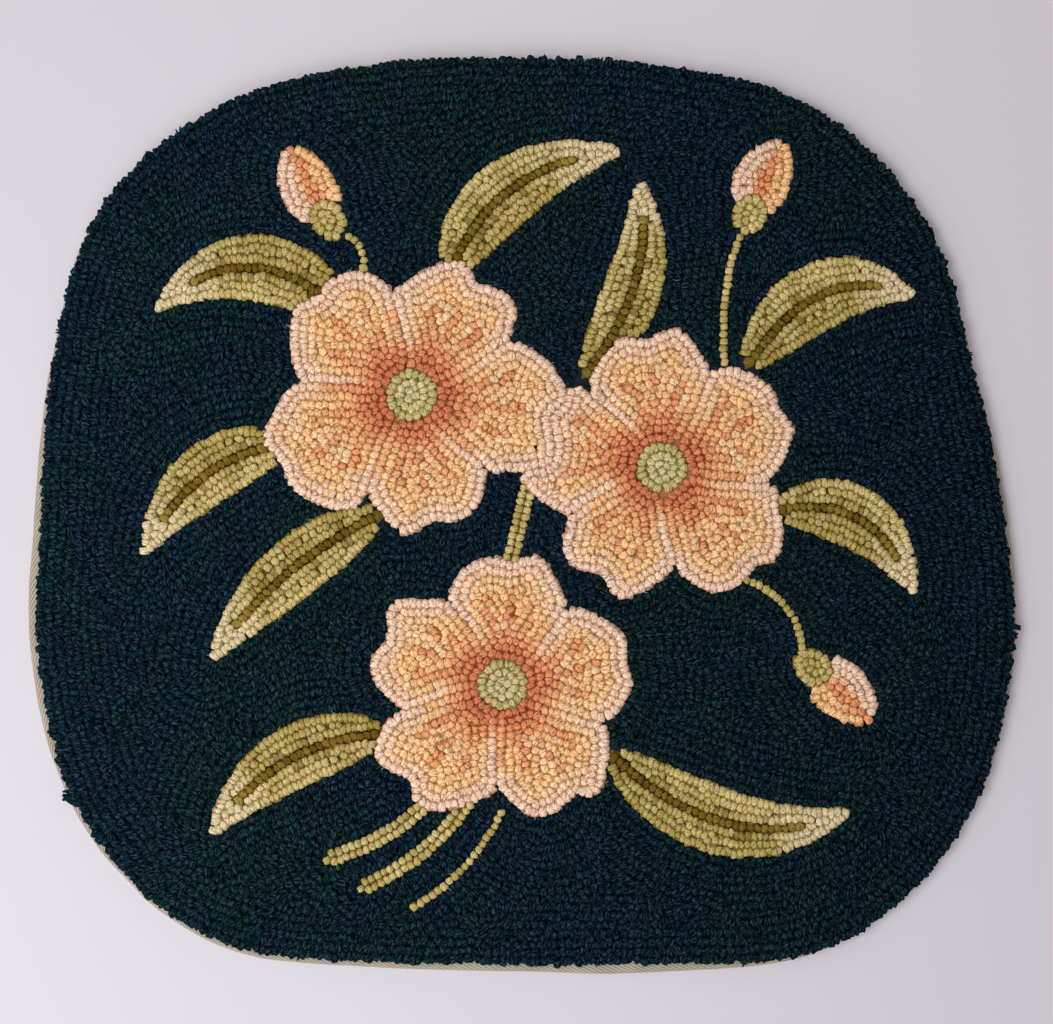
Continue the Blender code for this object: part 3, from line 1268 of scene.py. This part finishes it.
halfway = from_root(0.5 * size, heading, np.full(HAIRS, RISES))
tip = from_root(size, heading + curl, rng.uniform(*TIP_RISES, HAIRS))
half_width = HAIR / 2 * np.column_stack([-np.sin(heading), np.cos(heading), 0 * heading])
points = np.stack(
    [root - half_width, root + half_width, halfway - half_width, halfway + half_width]
    + [tip - TIP_WIDE * half_width, tip + TIP_WIDE * half_width],
    axis=1,
)
# painted sheen: each hair is its loop's colour lifted a little towards grey, lighter on the dark
# ground
fuzz = mesh_piece(
    "fuzz",
    points * MM,
    many(grid_faces(3, 2), HAIR_POINTS, HAIRS),
    np.repeat(0.93 * colour[pick] + 0.03, HAIR_POINTS, axis=0),
    np.tile(PLAIN_LAY, (HAIR_POINTS * HAIRS, 1)),
)
fuzz.data.materials.append(spray_yarn)
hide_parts("hooked_pad")
print(f"{HAIRS} hairs, {size.mean():.1f} mm long on average")

# %% [markdown]
# ## The stitches on the back
# Between two loops the yarn runs on under the cloth, so the back shows a short flat stitch for
# every loop, in the same rows and colours. Nothing there is round: the stitches are pulled tight
# and the seat wears them flat. So a stitch is a low pillow of five faces, set where its loop is.

# %% Flat pillows
PILLOW_FACES = np.array(((4, 5, 6, 7), (0, 1, 5, 4), (1, 2, 6, 5), (2, 3, 7, 6), (3, 0, 4, 7)))
CORNERS = np.array(((-1, -1), (-1, 1), (1, 1), (1, -1)))
WORN = (0.8, 0.68)  # share of its length and width that is left where a stitch is lowest
PILLOW_POINTS = 8


def pillows(centres, ways, half_long, half_wide, above, lowest):
    """Short flat stitches under the cloth: a wide four-sided rim above and a smaller one below."""
    along_it = np.stack([np.cos(ways), np.sin(ways)], 1)
    across_it = np.stack([-np.sin(ways), np.cos(ways)], 1)
    rims = []
    for share_long, share_wide, z in ((1, 1, above), (*WORN, lowest)):
        step_long = CORNERS[None, :, :1] * (half_long * share_long)[:, None, None]
        step_wide = CORNERS[None, :, 1:] * (half_wide * share_wide)[:, None, None]
        flat = centres[:, None] + step_long * along_it[:, None] + step_wide * across_it[:, None]
        rims.append(np.concatenate([flat, np.broadcast_to(z[:, None, None], (len(z), 4, 1))], 2))
    return np.concatenate(rims, axis=1)


print(f"a stitch is worn to {WORN[0] * WORN[1]:.0%} of its size underneath")

# %% The stitches of the back
from_tape = reach(tape_ring, np.arctan2(spots[:, 1], spots[:, 0])) - np.hypot(*spots.T)
ids = np.flatnonzero(from_tape > tape_ends + CLIMB / 2)
fine = kind_at[ids] != "ground"
cloth_here = np.interp(
    from_tape[ids], (tape_ends, tape_ends + CLIMB), (CLOTH_OVER_TAPE, CLOTH_UNDER)
)
points = pillows(
    spots[ids],
    np.arctan2(uphill[ids, 1], uphill[ids, 0]) + math.pi / 2 + rng.normal(0, 0.12, len(ids)),
    np.where(fine, 1.4, 1.65) * rng.uniform(0.9, 1.1, len(ids)),
    np.where(fine, 1.25, 1.5) * rng.uniform(0.85, 1.15, len(ids)),
    cloth_here + 0.15,
    cloth_here - rng.uniform(0.3, 0.45, len(ids)),
)
back = mesh_piece(
    "back_stitches",
    points * MM,
    many(PILLOW_FACES, PILLOW_POINTS, len(ids)),
    np.repeat(colour[ids], PILLOW_POINTS, axis=0),
    np.tile(np.column_stack([CORNERS * (1.2, 1.5), np.full(4, 9)]), (2 * len(ids), 1)),
)
back.data.materials.append(spray_yarn)
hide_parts("hooked_pad")
print(len(ids), "stitches on the back")

# %% [markdown]
# ## The binding tape
# Rug tape is a cotton twill: the weft passes over two warps and under two, and each row starts
# one thread further on, so the cloth is crossed by slanting ribs. Here they are 1.2 mm apart and
# lie at 27 degrees to the edge. The tape rolls round the cloth's raw edge, so its ribs run round
# the roll like the stripes of a barber's pole. They are real ridges, and cheap ones: the mesh's
# own columns slant with the ribs, so four columns a rib are enough.

# %% The tape's section
TAPE = 1.0  # mm thick
ROLL = 1.9  # mm, outer radius of the fold
LAP_ABOVE = 8.0
BELOW = (LAP_BELOW, 25.0, 20.0, 15.0, 10.0, 5.0)  # mm in from the edge, where it has points
ABOVE = (2.6, 3.4, 4.2, 5.2, LAP_ABOVE)


def on_roll(radius, degrees):
    way = np.radians(degrees)
    return list(zip(ROLL + radius * np.cos(way), ROLL + radius * np.sin(way)))


section = [(inward, 0.0) for inward in BELOW]
section += on_roll(ROLL, range(270, 89, -20))
section += [(inward, 2 * ROLL) for inward in ABOVE]
outer_count = len(section)
section += [(LAP_ABOVE, 2 * ROLL - TAPE), *on_roll(ROLL - TAPE, (90, 180, 270)), (LAP_BELOW, TAPE)]
section = np.array(section)
face_out = np.roll(section, -1, axis=0) - np.roll(section, 1, axis=0)
face_out = np.stack([face_out[:, 1], -face_out[:, 0]], axis=1)
face_out /= -np.hypot(*face_out.T)[:, None]
across_run = np.concatenate([[0], np.cumsum(np.hypot(*np.diff(section, axis=0).T))])
print(f"the tape is {across_run[outer_count - 1]:.1f} mm wide")

# %% The length of the edge
FINE_POINTS = 4001

fine_way = np.linspace(-math.pi, math.pi, FINE_POINTS)
edge = edge_points(tape_ring, fine_way)
run = np.concatenate([[0], np.cumsum(np.hypot(*np.diff(edge, axis=0).T))])
length = run[-1]
print(f"{length / 1000:.2f} m of tape")

# %% The tape round the edge
TAPE_RIB = 1.2  # mm from rib to rib
RIB_DEG = 27
RIB_RISE = 0.17  # mm from furrow to crest
COLUMNS_A_RIB = 4
BULGE, BULGE_LONG = 0.5, 34  # mm, how unevenly the roll bulges and over what length
ROLL_ENDS = 4.5  # mm in from the edge

slope = math.radians(RIB_DEG)
ribs_round = round(length * math.sin(slope) / TAPE_RIB)
columns = ribs_round * COLUMNS_A_RIB
start = np.arange(columns) / columns * length
place = (start[:, None] - across_run / math.tan(slope)) % length
way = np.interp(place, run, fine_way)
crest = 0.5 + 0.5 * np.cos(2 * math.pi * np.arange(columns) / COLUMNS_A_RIB)[:, None]
crest = np.where(np.arange(len(section)) < outer_count, crest, 0.5)
flat = edge_points(tape_ring, way.ravel())
bulge = BULGE * (waves(flat, BULGE_LONG, seed=8) - 0.5).reshape(way.shape)
bulge *= (section[:, 1] > 0.5) & (section[:, 0] < ROLL_ENDS)
swell = RIB_RISE * (crest - 0.5) + bulge
inward = section[:, 0] + swell * face_out[:, 0]
height = np.maximum(section[:, 1] + swell * face_out[:, 1], 0)
flat = flat - inward.reshape(-1, 1) * outward_at(tape_ring, way.ravel())
points = np.column_stack([flat, height.ravel()])
# cream on the crests; the furrows grey-brown, partly grime and partly painted shade
furrow_grime_and_shade, crest_colour = linear("#96876E"), linear("#DED4C0")
tape = mesh_piece(
    "twill_tape",
    points * MM,
    grid_faces(columns, len(section), closed=True, ring=True),
    furrow_grime_and_shade + (crest_colour - furrow_grime_and_shade) * crest[..., None],
    np.stack([place, np.broadcast_to(across_run, place.shape), 0 * place], axis=-1),
)
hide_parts("binding_tape")
print(f"{ribs_round} ribs, {len(tape.data.polygons)} faces")

# %% [markdown]
# Rug tape is carded cotton, woven tight and left unbleached: a dull cream. The mesh already has the
# ribs, and each point's colour goes by how far it lies up a rib, from cream on the crest to a
# grey-brown in the furrow that is partly grime and partly painted shade.
# The nodes add what is finer: the threads across each rib with their own ridges, and slow patches
# where handling has left the cloth greyer. Cotton has an index of refraction of 1.53.

# %% The tape's material
THREAD = 0.6  # mm between the threads across a rib, nearly true to life
THREADS_SLANT_DEG = 40

material, tree, shader = new_material("cotton twill tape", PLANT_IOR, SMOOTHER_GLOSS)
dyed = add(tree, "ShaderNodeAttribute", {"attribute_name": "dye"})
lie = add(tree, "ShaderNodeAttribute", {"attribute_name": "lay"})
turned = add(
    tree,
    "ShaderNodeMapping",
    {"Rotation": (0, 0, math.radians(THREADS_SLANT_DEG))},
    {"Vector": lie.outputs["Vector"]},
)
threads = add(
    tree,
    "ShaderNodeTexWave",
    {"Scale": BAND / THREAD, "Distortion": 1.2, "Detail": 2.0},
    {"Vector": turned.outputs["Vector"]},
).outputs["Fac"]
wear = add(
    tree,
    "ShaderNodeTexNoise",
    {"Scale": 0.08, "Detail": 4.0},
    {"Vector": lie.outputs["Vector"]},
).outputs["Fac"]
tint = shade(
    tree,
    dyed.outputs["Color"],
    (threads, 0, 1, 0.8, 1.08),
    (wear, 0.3, 0.7, 0.88, 1.08),
)
bump = add(
    tree,
    "ShaderNodeBump",
    {"Strength": 0.5, "Distance": 0.12 * MM},
    {"Height": threads},
)
dress(tree, shader, tint, bump, (threads, 0, 1, 0.95, 0.8))
tape.data.materials.append(material)
print(material.name, "has", len(tree.nodes), "nodes")

# %% [markdown]
# ## The hem
# The tape's inner edge is sewn down by hand with short slanting stitches of thick thread, which
# show on the back alone. A stitch is the same flat pillow as before, long and narrow, every few
# millimetres along the tape's edge.

# %% The hem on the back
HEM_STEP = 5.0  # mm between stitches
HEM_SLANT = 0.7  # radians
HALF_STITCH = (1.5, 2.1)  # mm
HALF_THREAD = 0.4
HEM_TOP, HEM_BOTTOM = 1.0, 0.02

hem_way = np.interp(np.arange(0, length, HEM_STEP), run, fine_way)
hem_place = edge_points(tape_ring, hem_way) - tape_ends * outward_at(tape_ring, hem_way)
number = len(hem_way)
points = pillows(
    hem_place,
    hem_way + rng.normal(HEM_SLANT, 0.1, number),
    rng.uniform(*HALF_STITCH, number),
    np.full(number, HALF_THREAD),
    np.full(number, HEM_TOP),
    np.full(number, HEM_BOTTOM),
)
hem = mesh_piece(
    "hem_stitches",
    points * MM,
    many(PILLOW_FACES, PILLOW_POINTS, number),
    np.tile(linear("#E6DDC6"), (PILLOW_POINTS * number, 1)),
    np.zeros((PILLOW_POINTS * number, 3)),
)
hem.data.materials.append(material)
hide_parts("binding_tape")
print(number, "stitches in the hem")

# %% [markdown]
# ## Loose ends
# Thirteen thousand loops don't all stay in. A few yarn ends work out at the rim, and pale lint
# settles on the dark ground, where every hair shows.

# %% Strands
STRAND_SIDES = 5
AGAINST = (0.05, 0.02, 1.0)  # a direction that no strand runs in


def strand(path, radii):
    """A thin tube along a path, as points in rings."""
    way = np.gradient(path, axis=0)
    way /= np.linalg.norm(way, axis=1)[:, None]
    side = np.cross(way, AGAINST)
    side /= np.linalg.norm(side, axis=1)[:, None]
    up = np.cross(side, way)
    turn = np.arange(STRAND_SIDES) * 2 * math.pi / STRAND_SIDES
    spokes = np.cos(turn)[None, :, None] * side[:, None] + np.sin(turn)[None, :, None] * up[:, None]
    return path[:, None] + radii[:, None, None] * spokes


def strands_piece(name, paths, radii, colours):
    parts = [strand(path, radius) for path, radius in zip(paths, radii)]
    faces = grid_faces(len(parts[0]), STRAND_SIDES, closed=True)
    size = len(parts[0]) * STRAND_SIDES
    points = np.stack(parts)
    lays = np.zeros((len(parts), *parts[0].shape))
    lays[..., 0] = np.arange(STRAND_SIDES) * 2 * math.pi / STRAND_SIDES
    lays[..., 1] = np.linspace(0, 6, len(parts[0]))[:, None]
    lays[..., 2] = PLAIN_LAY[2]
    obj = mesh_piece(
        name, points * MM, many(faces, size, len(parts)), np.repeat(colours, size, axis=0), lays
    )
    obj.data.materials.append(spray_yarn)
    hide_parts("hooked_pad")
    return obj


print("a strand has", STRAND_SIDES, "sides")

# %% Ends and lint
RINGS = 7
ENDS = (
    # place and heading in degrees, length in mm, yarns, thickness in mm
    (212.8, 186, 6.5, 3, 2.2),
    (211.9, 176, 5.0, 2, 1.5),
    (347.5, 350, 4.5, 3, 1.6),
    (346.4, 340, 3.0, 2, 1.6),
    (132, 120, 3.0, 2, 0.9),
    (158, 170, 2.5, 2, 0.9),
    (80, 95, 2.5, 3, 0.9),
    (243, 230, 3.0, 3, 0.9),
    (297, 300, 3.0, 2, 0.9),
    (20, 40, 2.5, 2, 0.9),
)
ENDS_START = 1.5  # mm in from the loops' edge
ENDS_HEIGHT = 6.0
LINT = 70
LINT_RADIUS = 0.05  # mm
LINT_WITHIN = 150  # mm from the middle, either way

paths, radii, colours = [], [], []
t = np.linspace(0, 1, RINGS)[:, None]
for deg, heading_deg, reach_out, yarns, thick in ENDS:
    for _ in range(yarns):
        way = math.radians(deg + rng.normal(0, 0.35))
        root = edge_points(loops_ring, np.array([way]))[0]
        heading = math.radians(heading_deg) + rng.normal(0, 0.15)
        step = np.array((math.cos(heading), math.sin(heading), rng.uniform(-0.5, 0.2)))
        bow = np.array((-step[1], step[0], 0)) * rng.normal(0, 0.25) + (0, 0, -0.3)
        inside = root - ENDS_START * np.array((math.cos(way), math.sin(way)))
        paths.append(np.array((*inside, ENDS_HEIGHT)) + reach_out * (t * step + t**2 * bow))
        radii.append(thick / 2 * (1 - 0.4 * t[:, 0] ** 4))
        colours.append(0.4 * (dye["navy"] + dye["bottle green"]))
for _ in range(LINT):
    base = np.array((*rng.uniform(-LINT_WITHIN, LINT_WITHIN, 2), PILE_TOP + 0.35))
    heading, bend_by, size = rng.uniform(0, 6.3), rng.normal(0, 1.6), rng.gamma(2.0, 0.9)
    turn_by = heading + bend_by * t[:, 0]
    steps = np.stack([np.cos(turn_by), np.sin(turn_by), rng.normal(0, 0.08, RINGS)], 1)
    paths.append(base + np.cumsum(steps, axis=0) * size / RINGS)
    radii.append(np.full(RINGS, LINT_RADIUS))
    colours.append(linear("#A2A39D"))
loose = strands_piece("loose_ends", paths, radii, np.array(colours))
print(len(paths), "strands")

# %% [markdown]
# ## Floor, light and camera
# The pad was photographed from straight above, on a pale surface, in the soft light of a window
# at its left. Two area lamps do for the window and a weak warm one for the wall across from it,
# and a pale sky fills the shadows.

# %% Floor
HALF = 3.0  # m
CORNERS_OF_FLOOR = [(-HALF, -HALF, 0), (HALF, -HALF, 0), (HALF, HALF, 0), (-HALF, HALF, 0)]

floor_mesh = bpy.data.meshes.new("floor")
floor_mesh.from_pydata(CORNERS_OF_FLOOR, [], [(0, 1, 2, 3)])
floor = bpy.data.objects.new("floor", floor_mesh)
bpy.context.scene.collection.objects.link(floor)
material, tree, shader = new_material("painted board", 1.5, 0.5)
shader.inputs["Base Color"].default_value = (*linear("#E6E1E7"), 1)
shader.inputs["Roughness"].default_value = 0.6
floor_mesh.materials.append(material)
print("the floor is", 2 * HALF, "m wide")

# %% Light
SKY = (1.0, 0.985, 1.0)
SKY_STRENGTH = 0.28
LAMPS = (
    # name, place, width and height, power, colour
    ("window", (-0.55, 0.0, 1.0), (0.5, 0.5), 4.2, (0.98, 0.97, 1.0)),
    ("near window", (-0.5, -0.65, 0.7), (1.0, 1.0), 5.9, (0.96, 0.965, 1.0)),
    ("far wall", (0.3, 0.75, 0.6), (0.8, 0.6), 1.2, (1.0, 0.94, 0.9)),
)

scene = bpy.context.scene
world = bpy.data.worlds.new("pale room")
scene.world = world
world.use_nodes = True
world.node_tree.nodes["Background"].inputs["Color"].default_value = (*SKY, 1)
world.node_tree.nodes["Background"].inputs["Strength"].default_value = SKY_STRENGTH
for name, stands, sides, power, tint in LAMPS:
    data = bpy.data.lights.new(name, "AREA")
    data.shape = "RECTANGLE"
    data.size, data.size_y = sides
    data.energy = power
    data.color = tint
    lamp = bpy.data.objects.new(name, data)
    scene.collection.objects.link(lamp)
    lamp.location = stands
    lamp.rotation_euler = (-Vector(stands)).to_track_quat("-Z", "Y").to_euler()
scene.view_settings.view_transform = "Standard"
print("lamps:", ", ".join(name for name, *_ in LAMPS))

# %% Camera
FRAME_PX = (1053, 1024)
LOOPS_IN_FRAME_PX = (36, 57.5, 1014, 965)  # left, top, right and bottom of the loops
CAMERA_HEIGHT = 0.75  # m over the loops
WIDEST_AT = 5.5 * MM  # the height at which the loops reach furthest
SENSOR = 36.0  # mm

loops_edge = edge_points(loops_ring, np.linspace(0, 2 * math.pi, 720)) * MM
low, high = loops_edge.min(0), loops_edge.max(0)
left, upper, right, lower = LOOPS_IN_FRAME_PX
metres_per_px = (high[0] - low[0]) / (right - left)
middle = (low + high) / 2
camera_data = bpy.data.cameras.new("camera")
camera_data.sensor_width = SENSOR
camera_data.lens = SENSOR * CAMERA_HEIGHT / (FRAME_PX[0] * metres_per_px)
camera = bpy.data.objects.new("camera", camera_data)
scene.collection.objects.link(camera)
camera.location = (
    middle[0] + (FRAME_PX[0] / 2 - (left + right) / 2) * metres_per_px,
    middle[1] - (FRAME_PX[1] / 2 - (upper + lower) / 2) * metres_per_px,
    WIDEST_AT + CAMERA_HEIGHT,
)
scene.camera = camera
print(f"{metres_per_px * 1000:.4f} mm to a pixel, lens {camera_data.lens:.1f} mm")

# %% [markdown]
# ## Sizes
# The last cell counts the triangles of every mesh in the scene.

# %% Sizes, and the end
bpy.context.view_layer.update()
counts = {
    obj.name: sum(len(face.vertices) - 2 for face in obj.data.polygons)
    for obj in scene.objects
    if obj.type == "MESH"
}
print("triangles:", counts, "in all:", sum(counts.values()))
